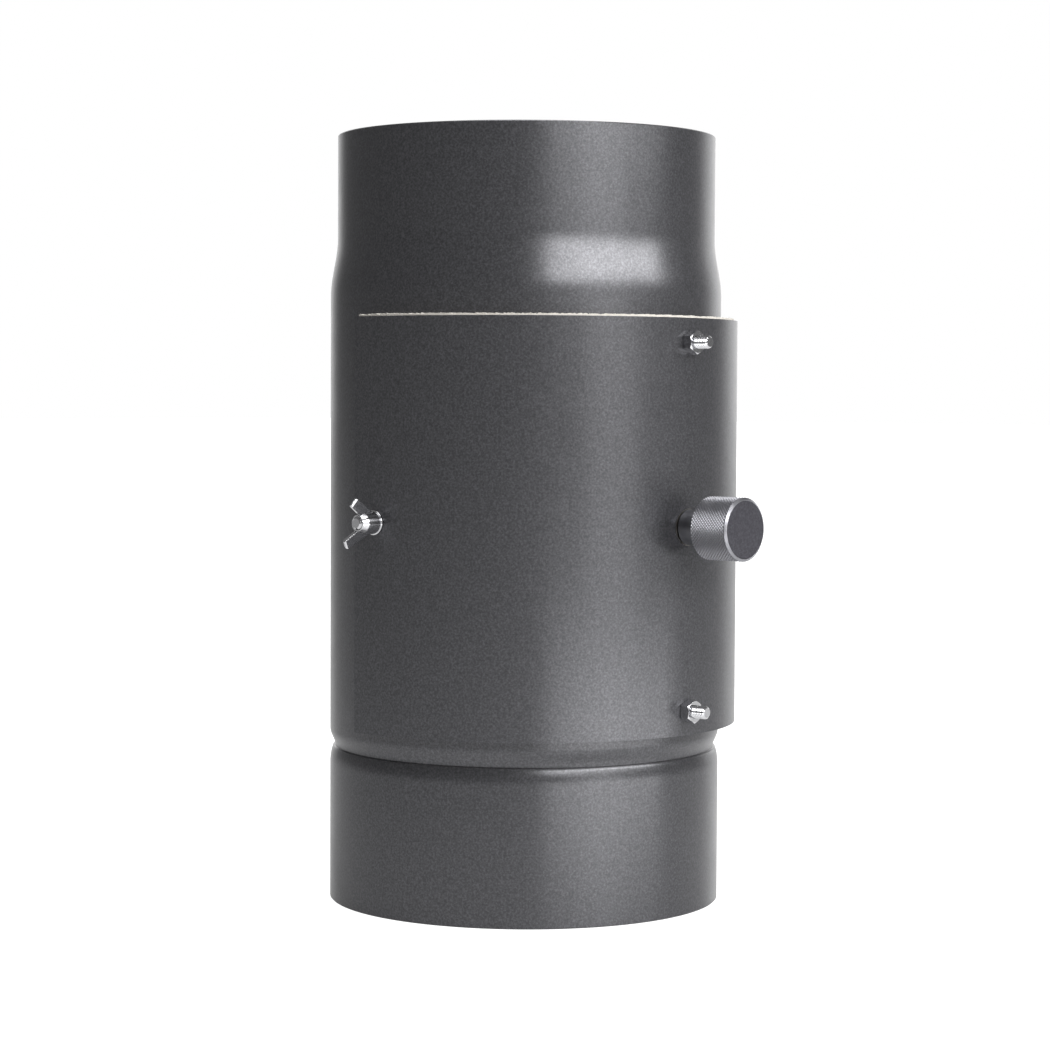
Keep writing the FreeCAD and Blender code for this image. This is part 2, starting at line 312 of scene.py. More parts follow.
def copy_of(piece: bpy.types.Object, name: str) -> bpy.types.Object:
    """Copy a piece with a mesh of its own.

    Args:
        piece: the object to copy.
        name: the copy's name.

    Returns:
        The copy.
    """
    choose(piece)
    bpy.ops.object.duplicate(linked=False)
    twin = bpy.context.object
    twin.name = name
    twin.data.name = name
    return twin


def join(name: str, pieces: Sequence[bpy.types.Object]) -> bpy.types.Object:
    """Join loose parts into one piece.

    Args:
        name: the joined piece's name.
        pieces: the parts, the last one of which takes the others in.

    Returns:
        The joined piece.
    """
    choose(*pieces)
    bpy.ops.object.join()
    piece = bpy.context.object
    piece.name = name
    piece.data.name = name
    return piece


def carve(piece: bpy.types.Object, tool: bpy.types.Object, operation: str = "DIFFERENCE") -> None:
    """Cut, add or intersect a piece with a tool, and throw the tool away.

    Args:
        piece: the object that is changed.
        tool: the object that cuts it.
        operation: the boolean modifier's operation.
    """
    apply_modifier(piece, "BOOLEAN", object=tool, operation=operation, solver="EXACT")
    bpy.data.objects.remove(tool, do_unlink=True)


def seat(piece: bpy.types.Object, body: str, slot: str, *nodes: str) -> None:
    """Put a finished piece on its body in place of its CAD nodes, and log it.

    Args:
        piece: the object.
        body: the body that it rides on.
        slot: a material slot's name; not used.
        nodes: the CAD nodes that it stands for.
    """
    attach(piece, body)
    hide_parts(*nodes)
    LOG.info("%s: %d faces on %s, for %s", piece.name, len(piece.data.polygons), body, ", ".join(nodes))


def dress(node: str, material: bpy.types.Material) -> None:
    """Give a CAD node that stays its finish.

    Args:
        node: the CAD node's name.
        material: the finish.
    """
    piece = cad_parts[node]
    if not piece.material_slots:
        piece.data.materials.append(material)
    for slot in piece.material_slots:
        slot.material = material
    LOG.info("%s: %s", node, material.name)


def linear(hex_colour: str) -> tuple[float, float, float, float]:
    """Turn an sRGB hex colour into linear RGBA.

    Args:
        hex_colour: a colour such as "#4a4a4c".

    Returns:
        The four linear channels.
    """
    channels = [int(hex_colour[i : i + 2], 16) / 255 for i in (1, 3, 5)]
    red, green, blue = [c / 12.92 if c <= 0.04045 else ((c + 0.055) / 1.055) ** 2.4 for c in channels]
    return red, green, blue, 1.0


def add_node(
    tree: bpy.types.NodeTree, kind: str, inputs: dict | None = None, links: dict | None = None,
    **settings: object,
) -> bpy.types.Node:
    """Add one node with its settings, constants and incoming links.

    Args:
        tree: the node tree.
        kind: the node's type.
        inputs: constants by input name or number.
        links: output sockets by the input name or number that they feed.
        settings: the node's own properties.

    Returns:
        The node.
    """
    node = tree.nodes.new(kind)
    for key, value in settings.items():
        setattr(node, key, value)
    for key, value in (inputs or {}).items():
        node.inputs[key].default_value = value
    for key, source in (links or {}).items():
        tree.links.new(source, node.inputs[key])
    return node


def new_material(name: str) -> tuple[bpy.types.Material, bpy.types.NodeTree, bpy.types.NodeSocket]:
    """Start a material with only its output node and object coordinates.

    Args:
        name: the material's name.

    Returns:
        The material, its tree and the object coordinates' socket.
    """
    material = bpy.data.materials.new(name)
    material.use_nodes = True
    tree = material.node_tree
    tree.nodes.clear()
    place = add_node(tree, "ShaderNodeTexCoord").outputs["Object"]
    return material, tree, place


def finish_material(material: bpy.types.Material, shader: dict, links: dict) -> bpy.types.Material:
    """Close a material with one Principled shader.

    Args:
        material: the material.
        shader: constants set on the shader's own sockets.
        links: sockets linked into the shader.

    Returns:
        The material.
    """
    tree = material.node_tree
    surface = add_node(tree, "ShaderNodeBsdfPrincipled", inputs=shader, links=links)
    add_node(tree, "ShaderNodeOutputMaterial", links={"Surface": surface.outputs[0]})
    return material


def grain(size: float) -> float:
    """Noise scale whose spots are about that many metres wide."""
    return 1.0 / size


# Nearly all of a noise pattern's values lie between these two.
NOISE_LOW, NOISE_HIGH = 0.3, 0.7


# Silicone stove paint, sprayed on and baked: a dark, matt coat with metal flakes in it. The eye gets a
# fine speckle and a broad soft sheen that turns pale at a grazing angle. The real grain is taken as half a
# millimetre or less, too fine to show, so it is drawn coarser, at 0.8 mm.
@dataclass(frozen=True)
class StovePaint:
    """Heat-resistant silicone paint with metal flakes, sprayed matt."""

    name: str = "stove_paint_sprayed"
    base: str = "#4a4a4d"
    grain_light: str = "#5b5b5f"
    grain_dark: str = "#3d3d40"
    grain_size: float = 0.8 * MM
    grain_depth: float = 0.05 * MM
    grain_bump: float = 0.05
    dark_below: float = 0.34
    light_above: float = 0.70
    mottle_size: float = 9.0 * MM
    roughness: float = 0.295
    mottle: float = 0.015
    metallic: float = 0.6

    def build(self) -> bpy.types.Material:
        """Make the paint's material.

        Returns:
            The material.
        """
        material, tree, place = new_material(self.name)
        fine = add_node(
            tree, "ShaderNodeTexNoise", {"Scale": grain(self.grain_size), "Detail": 2.0, "Roughness": 0.7},
            {"Vector": place},
        )
        colours = add_node(tree, "ShaderNodeValToRGB", links={"Fac": fine.outputs["Fac"]})
        ramp = colours.color_ramp
        ramp.elements[0].position = self.dark_below
        ramp.elements[0].color = linear(self.grain_dark)
        ramp.elements[1].position = self.light_above
        ramp.elements[1].color = linear(self.grain_light)
        middle = ramp.elements.new(0.5)
        middle.color = linear(self.base)
        mottle = add_node(
            tree, "ShaderNodeTexNoise", {"Scale": grain(self.mottle_size), "Detail": 3.0}, {"Vector": place}
        )
        rough = add_node(
            tree, "ShaderNodeMapRange",
            {"From Min": NOISE_LOW, "From Max": NOISE_HIGH,
             "To Min": self.roughness - self.mottle, "To Max": self.roughness + self.mottle},
            {"Value": mottle.outputs["Fac"]},
        )
        bump = add_node(
            tree, "ShaderNodeBump", {"Strength": self.grain_bump, "Distance": self.grain_depth},
            {"Height": fine.outputs["Fac"]},
        )
        return finish_material(
            material,
            {"Metallic": self.metallic, "Specular IOR Level": 1.0},
            {
                "Base Color": colours.outputs["Color"],
                "Roughness": rough.outputs["Result"],
                "Normal": bump.outputs["Normal"],
            },
        )


# Ceramic fibre, pressed into a felt: the eye gets a chalky white with no gloss. Its colour turns greyer
# where the fibre bump is low: a random tone, and painted shade in the hollows between the fibres.
@dataclass(frozen=True)
class CeramicFibre:
    """Pressed ceramic-fibre gasket: soft white, matt, with short matted fibres."""

    name: str = "ceramic_fibre_pressed"
    light: str = "#efece6"
    # The greyer colour: the fibre's random tone, and painted shade in the hollows between the fibres.
    dark: str = "#b9b2a6"
    fibre_size: float = 0.8 * MM
    fibre_depth: float = 0.2 * MM
    fibre_bump: float = 0.7
    roughness: float = 0.95
    gloss: float = 0.2

    def build(self) -> bpy.types.Material:
        """Make the gasket's material.

        Returns:
            The material.
        """
        material, tree, place = new_material(self.name)
        fibres = add_node(
            tree, "ShaderNodeTexNoise", {"Scale": grain(self.fibre_size), "Detail": 4.0, "Distortion": 1.5},
            {"Vector": place},
        )
        # Greyer where the bump is low: painted shade in the hollows between the fibres.
        colour = add_node(
            tree, "ShaderNodeMix",
            {6: linear(self.dark), 7: linear(self.light)}, {0: fibres.outputs["Fac"]}, data_type="RGBA",
        )
        bump = add_node(
            tree, "ShaderNodeBump", {"Strength": self.fibre_bump, "Distance": self.fibre_depth},
            {"Height": fibres.outputs["Fac"]},
        )
        return finish_material(
            material,
            {"Roughness": self.roughness, "Specular IOR Level": self.gloss},
            {"Base Color": colour.outputs[2], "Normal": bump.outputs["Normal"]},
        )


@dataclass(frozen=True)
class MetalFinish:
    """Bare or plated metal: its colour, its gloss and the marks of how it was made."""

    name: str
    colour: str
    worn: str
    roughness: float
    mark_size: float
    stretch: tuple[float, float, float] = (1.0, 1.0, 1.0)
    bump: float = 0.15
    mark_depth: float = 0.05 * MM
    gloss_range: Point = (0.8, 1.25)

    def build(self) -> bpy.types.Material:
        """Make the metal's material.

        Returns:
            The material.
        """
        material, tree, place = new_material(self.name)
        stretched = add_node(
            tree, "ShaderNodeMapping", {"Scale": self.stretch}, {"Vector": place}
        ).outputs["Vector"]
        marks = add_node(
            tree, "ShaderNodeTexNoise", {"Scale": grain(self.mark_size), "Detail": 3.0}, {"Vector": stretched}
        )
        colour = add_node(
            tree, "ShaderNodeMix", {6: linear(self.worn), 7: linear(self.colour)}, {0: marks.outputs["Fac"]},
            data_type="RGBA",
        )
        glossiest, dullest = (self.roughness * share for share in self.gloss_range)
        rough = add_node(
            tree, "ShaderNodeMapRange",
            {"From Min": NOISE_LOW, "From Max": NOISE_HIGH, "To Min": glossiest, "To Max": dullest},
            {"Value": marks.outputs["Fac"]},
        )
        bump = add_node(
            tree, "ShaderNodeBump", {"Strength": self.bump, "Distance": self.mark_depth},
            {"Height": marks.outputs["Fac"]},
        )
        return finish_material(
            material,
            {"Metallic": 1.0},
            {
                "Base Color": colour.outputs[2],
                "Roughness": rough.outputs["Result"],
                "Normal": bump.outputs["Normal"],
            },
        )


# Zinc, plated bright on pressed and rolled steel: the eye gets a pale skin, close to a mirror, with small
# hard glints.
ZINC = MetalFinish("zinc_plated_bright", "#d4d4d6", "#bcbcbf", 0.14, 1.6 * MM, bump=0.02)
# Stainless steel, cold rolled: the eye gets a warm grey, half dull. The rolling marks lie level and are
# finer than the render shows, so they only soften the sheen.
STAINLESS = MetalFinish("stainless_rolled", "#a8a5a0", "#8d8983", 0.36, 0.5 * MM, (1.0, 1.0, 12.0))
# Steel, turned and then knurled: the eye gets a satin mid grey, on which each diamond of the grip has a
# light side and a dark side.
KNURLED = MetalFinish("steel_turned_knurled", "#98989c", "#84848a", 0.35, 2.4 * MM, bump=0.0)
# Lacquer, sprayed on the disc in the knob's face: the pipe's kind of coat, a little bluer to the eye.
KNOB_LACQUER = StovePaint("knob_face_lacquer", "#49484f", "#55545b", "#3f3e44")


# Porous ceramic, cast and fired: the eye gets a pale dry surface with open pores all over, dark with painted
# shade.
@dataclass(frozen=True)
class PorousCeramic:
    """Open-pored fired ceramic: pale and dry, with painted shade in its pores."""

    name: str = "ceramic_porous_fired"
    light: str = "#cfc5b2"
    # The painted shade inside the pores.
    dark: str = "#5f574b"
    pore_size: float = 2.4 * MM
    pore_depth: float = 1.0 * MM
    pore_bump: float = 0.9
    pore_edge: Point = (0.18, 0.42)
    roughness: float = 0.9

    def build(self) -> bpy.types.Material:
        """Make the ceramic's material.

        Returns:
            The material.
        """
        material, tree, place = new_material(self.name)
        pores = add_node(
            tree, "ShaderNodeTexVoronoi", {"Scale": grain(self.pore_size)}, {"Vector": place}
        )
        # Dark at each pore's middle, pale on the ceramic between: painted shade inside the pores.
        shades = add_node(tree, "ShaderNodeValToRGB", links={"Fac": pores.outputs["Distance"]})
        ramp = shades.color_ramp.elements
        for element, position, shade in zip(ramp, self.pore_edge, (self.dark, self.light)):
            element.position = position
            element.color = linear(shade)
        bump = add_node(
            tree, "ShaderNodeBump", {"Strength": self.pore_bump, "Distance": self.pore_depth},
            {"Height": pores.outputs["Distance"]},
        )
        return finish_material(
            material,
            {"Roughness": self.roughness},
            {"Base Color": shades.outputs["Color"], "Normal": bump.outputs["Normal"]},
        )


@dataclass
class PipeBody:
    """The painted pipe: socket, rolled stop bead, window, taper and spigot."""

    radius: float = field(default_factory=lambda: high("pipe").x)
    height: float = field(default_factory=lambda: high("pipe").z)
    wall: float = 2.0 * MM
    spigot_radius: float = 74.25 * MM
    spigot_length: float = 40.0 * MM
    taper_length: float = 23.0 * MM
    socket_depth: float = 53.5 * MM
    bead_rise: float = 6.4 * MM
    bead_depth: float = 2.0 * MM
    bead_lip: float = 0.9 * MM
    bead_slope: float = 6.8 * MM
    bead_steps: int = 7
    lip_round: float = 0.12 * MM
    crease_foot: float = 0.16 * MM
    crease_round: float = 0.15 * MM
    crease_rise: float = 0.3 * MM
    slope_steps: int = 9
    taper_steps: int = 14
    inner_taper_steps: int = 6
    inner_bead_steps: int = 5
    rim_round: float = 0.35 * MM
    window_bottom: float = 86.5 * MM
    window_top: float = 212.0 * MM
    window_half_deg: float = 83.0
    window_ring: float = 4.0 * MM
    window_steps: int = 96
    sides: int = 288

    def bend(self, start: Point, end: Point, steps: int) -> list[Point]:
        """Points of a soft S that joins two upright stretches.

        Args:
            start: (radius, height) where it leaves the first stretch.
            end: (radius, height) where it meets the second.
            steps: how many lengths it has.

        Returns:
            The points after start, up to and with end.
        """
        points = []
        for k in range(1, steps + 1):
            share = k / steps
            swing = (1 - math.cos(math.pi * share)) / 2
            radius = start[0] + (end[0] - start[0]) * swing
            points.append((radius, start[1] + (end[1] - start[1]) * share))
        return points

    def outline(self) -> list[Point]:
        """Draw the wall's section, up the outside and down the inside.

        Returns:
            The (radius, height) points of the closed section.
        """
        outside, inside, soft = self.radius, self.radius - self.wall, self.rim_round
        lip_z = self.socket_depth + self.bead_rise
        crease = (outside - self.bead_depth, lip_z + self.crease_rise)
        lip = outside - self.bead_depth + self.bead_lip
        slope_end = (outside, crease[1] + self.bead_slope)
        taper_start = (outside, self.height - self.spigot_length - self.taper_length)
        spigot = (self.spigot_radius, self.height - self.spigot_length)
        spigot_inside = self.spigot_radius - self.wall
        points = [(inside + soft, 0.0), (outside - soft, 0.0), (outside, soft), (outside, self.socket_depth)]
        for k in range(1, self.bead_steps + 1):
            share = k / self.bead_steps
            radius = outside - (outside - lip) * share ** 2
            points.append((radius, self.socket_depth + self.bead_rise * share))
        points.append((lip - self.lip_round, lip_z + self.lip_round))
        points.append((crease[0] + self.crease_round, lip_z + self.crease_foot))
        points.append(crease)
        points += self.bend(crease, slope_end, self.slope_steps)
        # Two rings near the window keep the odd faces of its cut away from the bead and the taper.
        points.append((outside, self.window_bottom - self.window_ring))
        points.append((outside, self.window_top + self.window_ring))
        points.append(taper_start)
        points += self.bend(taper_start, spigot, self.taper_steps)
        points += [(self.spigot_radius, self.height - soft), (self.spigot_radius - soft, self.height)]
        points += [(spigot_inside + soft, self.height), (spigot_inside, self.height - soft)]
        points.append((spigot_inside, spigot[1]))
        points += self.bend((spigot_inside, spigot[1]), (inside, taper_start[1]), self.inner_taper_steps)
        bead_top, bead_inside = (inside, slope_end[1]), (inside - self.bead_depth, crease[1])
        points.append(bead_top)
        points += self.bend(bead_top, bead_inside, self.inner_bead_steps)
        points += self.bend(bead_inside, (inside, self.socket_depth), self.inner_bead_steps)
        points.append((inside, soft))
        return points

    def build(self, paint: bpy.types.Material) -> None:
        """Model the pipe, cut its window and paint it.

        Args:
            paint: the stove paint.
        """
        pipe = turned("pipe_body", self.outline(), self.sides, ring=True)
        window = bent_plate(
            "window_tool", self.radius - 4 * self.wall, self.radius + self.wall,
            self.window_bottom, self.window_top, self.window_half_deg, self.window_steps,
        )
        carve(pipe, window)
        smooth(pipe, 40.0)
        pipe.data.materials.append(paint)
        seat(pipe, "body", "black_paint", "pipe")


@dataclass
class InspectionCover:
    """The bent cover plate and the fibre gasket under it."""

    inner: float = 82.0 * MM
    half_deg: float = 98.0
    outer: float = field(default_factory=lambda: -low("cover").y)
    bottom: float = field(default_factory=lambda: low("cover").z)
    top: float = field(default_factory=lambda: high("cover").z)
    gasket_inner: float = 77.0 * MM
    gasket_bottom: float = field(default_factory=lambda: low("gasket").z)
    gasket_top: float = field(default_factory=lambda: high("gasket").z)
    gasket_end_width: float = 16.0 * MM
    gasket_half_deg: float = 97.6
    cover_steps: int = 200
    gasket_steps: int = 420
    window_half_deg: float = 83.0
    hole_radius: float = 3.0 * MM
    stud_edge: float = 9.2 * MM
    side_stud_rise: float = 1.4 * MM
    bush_hole_radius: float = 7.05 * MM
    drill_reach: float = 5.0 * MM
    # Where level cuts lie from the middle of a hole.
    row_steps: tuple[float, ...] = (-7.6 * MM, -4 * MM, 4 * MM, 7.6 * MM)
    edge_round: float = 0.28 * MM
    window_reach: float = 3.0 * MM
    window_steps: int = 96
    fray: float = 0.35 * MM
    fray_range: Point = (-0.5, 1.0)
    fibres: int = 90
    fibre_length_mm: Point = (0.8, 2.2)
    fibre_radii: Point = (0.09 * MM, 0.02 * MM)
    fibre_inset: float = 1.0 * MM
    fibre_overlap: float = 0.2 * MM
    fibre_sunk: float = 0.25 * MM
    # Both in radians.
    fibre_tilt: Point = (1.1, 1.9)
    fibre_heading: Point = (0.9, 2.2)
    seed: int = 11

    def stud_sites(self) -> list[Point]:
        """Say where the studs stand: top, bottom, left and right.

        Returns:
            (side in degrees, height) of each stud.
        """
        middle = (self.bottom + self.top) / 2
        return [
            (Side.FRONT.value, self.top - self.stud_edge),
            (Side.FRONT.value, self.bottom + self.stud_edge),
            (Side.LEFT.value, middle + self.side_stud_rise),
            (Side.RIGHT.value, middle + self.side_stud_rise),
        ]

    def drill(self, radius: float, start: float, side: float, height: float, sides: int) -> bpy.types.Object:
        """Round tool that cuts one hole through the cover.

        Args:
            radius: the hole's radius.
            start: how far from the pipe's axis the sheet begins.
            side: the hole's side in degrees from the cover's middle.
            height: the hole's height.
            sides: the number of points round the hole.

        Returns:
            The tool.
        """
        ends = (start - self.drill_reach, self.outer + self.drill_reach)
        tool = turned("drill", [(radius, end) for end in ends], sides)
        outward(tool, side, height)
        return tool

    def stud_drills(self) -> list[bpy.types.Object]:
        """Round tools that cut the studs' holes."""
        radius, start = self.hole_radius, self.gasket_inner
        return [self.drill(radius, start, side, height, sides=32) for side, height in self.stud_sites()]

    def build_cover(self, paint: bpy.types.Material) -> None:
        """Model the cover plate with its holes and paint it.

        Args:
            paint: the stove paint.
        """
        cover = bent_plate(
            "cover_plate", self.inner, self.outer, self.bottom, self.top, self.half_deg, self.cover_steps
        )
        middle = (self.bottom + self.top) / 2
        heights = {height for _, height in self.stud_sites()} | {middle}
        cut_rows(cover, [height + step for height in heights for step in self.row_steps])
        bush = self.drill(self.bush_hole_radius, self.inner, Side.FRONT.value, middle, sides=48)
        carve(cover, join("drills", self.stud_drills() + [bush]))
        round_edges(cover, self.edge_round, 2, 60.0)
        smooth(cover)
        level_shading(cover)
        cover.data.materials.append(paint)
        seat(cover, "body", "black_paint", "cover")

    def build_gasket(self, fibre: bpy.types.Material) -> None:
        """Model the gasket frame, fray its upper edge and add loose fibres.

        Args:
            fibre: the ceramic fibre.
        """
        edge = self.gasket_top - self.fray
        gasket = bent_plate(
            "gasket_frame", self.gasket_inner, self.inner, self.gasket_bottom, edge,
            self.gasket_half_deg, self.gasket_steps,
        )
        window = bent_plate(
            "window_tool", self.gasket_inner - self.window_reach, self.inner + self.window_reach,
            self.bottom + self.gasket_end_width, self.top - self.gasket_end_width,
            self.window_half_deg, self.window_steps,
        )
        carve(gasket, join("gasket_tools", self.stud_drills() + [window]))
        dice = random.Random(self.seed)
        for vertex in gasket.data.vertices:
            if vertex.co.z > edge - 0.1 * MM:
                vertex.co.z += dice.uniform(*self.fray_range) * self.fray
        tufts = [self.fibre(dice) for _ in range(self.fibres)]
        gasket = join("gasket_frame", tufts + [gasket])
        smooth(gasket, 50.0)
        gasket.data.materials.append(fibre)
        seat(gasket, "body", "gasket_fibre", "gasket")

    def fibre(self, dice: random.Random) -> bpy.types.Object:
        """Model one loose fibre that lies along the gasket's upper edge.

        Args:
            dice: the source of its place and lean.

        Returns:
            A thin tapered needle.
        """
        deselect_all()
        length = dice.uniform(*self.fibre_length_mm) * MM
        side = math.radians(dice.uniform(-self.gasket_half_deg, self.gasket_half_deg))
        radius = dice.uniform(self.gasket_inner + self.fibre_inset, self.inner + self.fibre_overlap)
        bpy.ops.mesh.primitive_cone_add(
            vertices=5, radius1=self.fibre_radii[0], radius2=self.fibre_radii[1], depth=length,
            location=(radius * math.sin(side), -radius * math.cos(side), self.gasket_top - self.fibre_sunk),
            rotation=(dice.uniform(*self.fibre_tilt), 0, side + dice.uniform(*self.fibre_heading)),
        )
        return settle("fibre")

    def build(self, paint: bpy.types.Material, fibre: bpy.types.Material) -> None:
        """Model the cover and its gasket."""
        self.build_cover(paint)
        self.build_gasket(fibre)


@dataclass
class Fasteners:
    """Weld studs, washers, hexagon nuts and wing nuts that hold the cover."""

    surface: float = field(default_factory=lambda: -low("cover").y)
    sites: list[Point] = field(default_factory=lambda: InspectionCover().stud_sites())
    root: float = 76.6 * MM
    stud_radius: float = 2.5 * MM
    reach: float = 9.8 * MM
    tip_chamfer: float = 0.7 * MM
    pitch: float = 0.8 * MM
    thread_depth: float = 0.45 * MM
    thread_steps: int = 28
    crest_drop: float = 0.05 * MM
    # The crest's two edges and the cut past each end, in shares of the pitch.
    crest: Point = (0.42, 0.58)
    end_clear: float = 0.6
    spare_turns: int = 2
    washer_radius: float = 4.7 * MM
    washer_hole: float = 2.7 * MM
    washer_thickness: float = 1.0 * MM
    washer_round: float = 0.15 * MM
    nut_bore: float = 2.55 * MM
    hex_flats: float = 8.0 * MM
    hex_height: float = 4.0 * MM
    hex_chamfer: float = 0.5 * MM
    hex_corner_clear: float = 0.1 * MM
    hex_edge_round: float = 0.12 * MM
    hub_foot: float = 4.3 * MM
    hub_foot_chamfer: float = 0.3 * MM
    hub_shoulder: float = 4.0 * MM
    shoulder_height: float = 5.8 * MM
    # (outwards, upwards) from the hub's shoulder.
    shoulder_form: Outline = ((0.0, -0.5 * MM), (-0.12 * MM, 0.0), (-0.45 * MM, 0.7 * MM))
    hub_top: float = 2.95 * MM
    hub_top_round: float = 0.12 * MM
    hub_height: float = 8.0 * MM
    wing_foot: float = 1.6 * MM
    wing_clear: float = 0.1 * MM
    # (outwards, upwards) from the hub's foot.
    wing_elbow: Point = (1.5 * MM, 4.2 * MM)
    wing_root: float = 7.6 * MM
    wing_height: float = 13.5 * MM
    wing_span: float = 10.0 * MM
    wing_tip_slope: float = 2.1 * MM
    wing_tip_width: float = 3.1 * MM
    wing_thickness: float = 1.4 * MM
    wing_rounded_from: float = 6.0 * MM
    wing_corner_round: float = 0.9 * MM
    wing_edge_round: float = 0.18 * MM
    left_turn: float = 75.0
    right_turn: float = 118.0

    def stud(self) -> bpy.types.Object:
        """Model one threaded stud along +Z, with a chamfered tip.

        Returns:
            The stud, not yet turned to its place.
        """
        tip = self.surface + self.reach
        crest, base = self.stud_radius - self.crest_drop, self.stud_radius - self.thread_depth
        turns = int((tip - self.root) / self.pitch) + 2 * self.spare_turns
        start = self.root - self.spare_turns * self.pitch
        deselect_all()
        bpy.ops.mesh.primitive_plane_add(size=1.0, location=ORIGIN)
        thread = bpy.context.object
        thread.name = "stud_thread"
        zigzag = []
        for k in range(turns):
            foot = start + k * self.pitch
            zigzag += [(base, foot)] + [(crest, foot + share * self.pitch) for share in self.crest]
        zigzag.append((base, start + turns * self.pitch))
        steps = [(k, k + 1) for k in range(len(zigzag) - 1)]
        thread.data.clear_geometry()
        thread.data.from_pydata([(radius, 0, height) for radius, height in zigzag], steps, [])
        apply_modifier(
            thread, "SCREW", axis="Z", angle=2 * math.pi, screw_offset=self.pitch, iterations=1,
            steps=self.thread_steps, render_steps=self.thread_steps,
            use_merge_vertices=True, merge_threshold=0.01 * MM,
        )
        clear = self.end_clear * self.pitch
        with editing(thread):
            for height, below in ((self.root - clear, True), (tip + clear, False)):
                bpy.ops.mesh.select_all(action="SELECT")
                bpy.ops.mesh.bisect(
                    plane_co=(0, 0, height), plane_no=Z_AXIS, use_fill=True,
                    clear_inner=below, clear_outer=not below,
                )
        face_outwards(thread)
        envelope = turned("stud_envelope", [
            (self.stud_radius, self.root), (self.stud_radius, tip - self.tip_chamfer),
            (self.stud_radius - self.tip_chamfer, tip),
        ], 48)
        carve(thread, envelope, "INTERSECT")
        smooth(thread, 30.0)
        return thread

    def washer(self, name: str) -> bpy.types.Object:
        """Model one washer along +Z, lying on the cover.

        Args:
            name: the washer's name.

        Returns:
            The washer, not yet turned to its place.
        """
        low_z, high_z = self.surface, self.surface + self.washer_thickness
        soft = self.washer_round
        washer = turned(name, [
            (self.washer_hole, low_z), (self.washer_radius - soft, low_z), (self.washer_radius, low_z + soft),
            (self.washer_radius, high_z - soft), (self.washer_radius - soft, high_z),
            (self.washer_hole + soft, high_z), (self.washer_hole, high_z - soft),
        ], 64, ring=True)
        smooth(washer, 50.0)
        return washer

    def hex_nut(self, name: str) -> bpy.types.Object:
        """Model one hexagon nut along +Z with chamfered corners.

        Args:
            name: the nut's name.

        Returns:
            The nut, not yet turned to its place.
        """
        bottom = self.surface
        top = bottom + self.hex_height
        corner = self.hex_flats / math.sqrt(3)
        clear = corner + self.hex_corner_clear
        deselect_all()
        bpy.ops.mesh.primitive_cylinder_add(
            vertices=6, radius=corner, depth=self.hex_height, location=(0, 0, (bottom + top) / 2)
        )
        nut = settle(name)
        form = turned("nut_form", [
            (self.hex_flats / 2, bottom), (clear, bottom + self.hex_chamfer),
            (clear, top - self.hex_chamfer), (self.hex_flats / 2, top),
        ], 72)
        carve(nut, form, "INTERSECT")
        carve(nut, turned("nut_bore", [(self.nut_bore, bottom - MM), (self.nut_bore, top + MM)], 40))
        round_edges(nut, self.hex_edge_round, 2, 25.0)
        smooth(nut)
        level_shading(nut)
        return nut

    def wing(self) -> bpy.types.Object:
        """Model one wing of a wing nut, standing out along +X.

        Returns:
            The wing, its root inside the hub.
        """
        bottom = self.surface + self.washer_thickness
        foot, tip = bottom + self.wing_foot, bottom + self.wing_height
        elbow_out, elbow_up = self.wing_elbow
        corners = [
            (self.hub_top, foot), (self.hub_foot + self.wing_clear, foot),
            (self.hub_foot + elbow_out, bottom + elbow_up), (self.wing_span, tip - self.wing_tip_slope),
            (self.wing_span - self.wing_tip_width, tip), (self.hub_top, bottom + self.wing_root),
        ]
        deselect_all()
        bpy.ops.mesh.primitive_plane_add(size=1.0, location=ORIGIN)
        wing = bpy.context.object
        wing.name = "wing"
        wing.data.clear_geometry()
        wing.data.from_pydata([(x, 0, z) for x, z in corners], [], [tuple(range(len(corners)))])
        apply_modifier(wing, "SOLIDIFY", thickness=self.wing_thickness, offset=0.0)
        with editing(wing):
            bpy.ops.mesh.select_all(action="SELECT")
            bpy.ops.mesh.normals_make_consistent(inside=False)
        select_points(wing, lambda point: point.x > self.wing_span - self.wing_tip_width - 0.1 * MM)
        for edge in wing.data.edges:
            first, second = (wing.data.vertices[i].co for i in edge.vertices)
            across = abs(first.y - second.y) > 0.5 * self.wing_thickness
            edge.select = across and first.x > self.wing_rounded_from
        with editing(wing):
            bpy.ops.mesh.select_mode(type="EDGE")
            bpy.ops.mesh.bevel(offset=self.wing_corner_round, segments=5, affect="EDGES")
            bpy.ops.mesh.select_mode(type="VERT")
        return wing

    def wing_nut(self, name: str) -> bpy.types.Object:
        """Model one wing nut along +Z: a shouldered hub and two raised wings.

        Args:
            name: the nut's name.

        Returns:
            The nut, not yet turned to its place.
        """
        bottom = self.surface + self.washer_thickness
        top = bottom + self.hub_height
        shoulder = bottom + self.shoulder_height
        nut = turned(name, [
            (self.hub_foot - self.hub_foot_chamfer, bottom), (self.hub_foot, bottom + self.hub_foot_chamfer),
            *((self.hub_shoulder + out, shoulder + up) for out, up in self.shoulder_form),
            (self.hub_top + self.hub_top_round, top - self.hub_top_round), (self.hub_top, top),
        ], 64)
        for half_turn in (0.0, math.pi):
            wing = self.wing()
            choose(wing)
            wing.rotation_euler = (0, 0, half_turn)
            bpy.ops.object.transform_apply(rotation=True)
            carve(nut, wing, "UNION")
        carve(nut, turned("nut_bore", [(self.nut_bore, bottom - MM), (self.nut_bore, top + MM)], 48))
        round_edges(nut, self.wing_edge_round, 3, 40.0)
        smooth(nut)
        level_shading(nut)
        return nut

